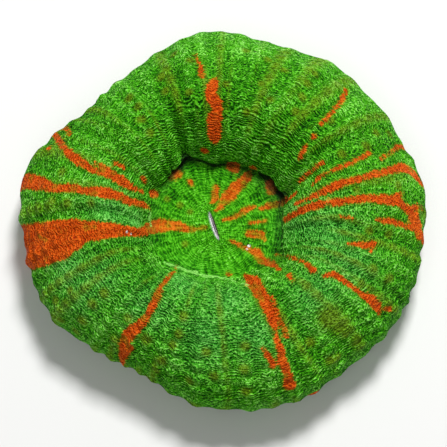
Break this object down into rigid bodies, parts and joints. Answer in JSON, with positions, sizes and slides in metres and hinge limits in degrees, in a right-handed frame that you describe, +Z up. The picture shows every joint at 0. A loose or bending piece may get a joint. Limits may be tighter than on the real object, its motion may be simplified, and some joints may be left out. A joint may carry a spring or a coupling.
{
  "type": "doughnut coral",
  "caption": "Fleshy single-polyp stony coral: a round, puffed rim about a sunken oral disc with a slit mouth, ridged and wrinkled all over, cut off flat below.",
  "frame": {"origin": "middle of the coral's outline, on the flat cut that it rests on", "axes": "+Z up out of the mouth's side, +Y to the side whose lip hangs over the disc (the top of the picture), +X to the picture's right"},
  "size_m": [0.1009, 0.0993, 0.0289],
  "materials": {
    "flesh": "finely wrinkled living flesh, damp satin, green with orange streaks that run out from the mouth"
  },
  "bodies": {
    "root": {"polyp": "flesh"}
  },
  "joints": []
}
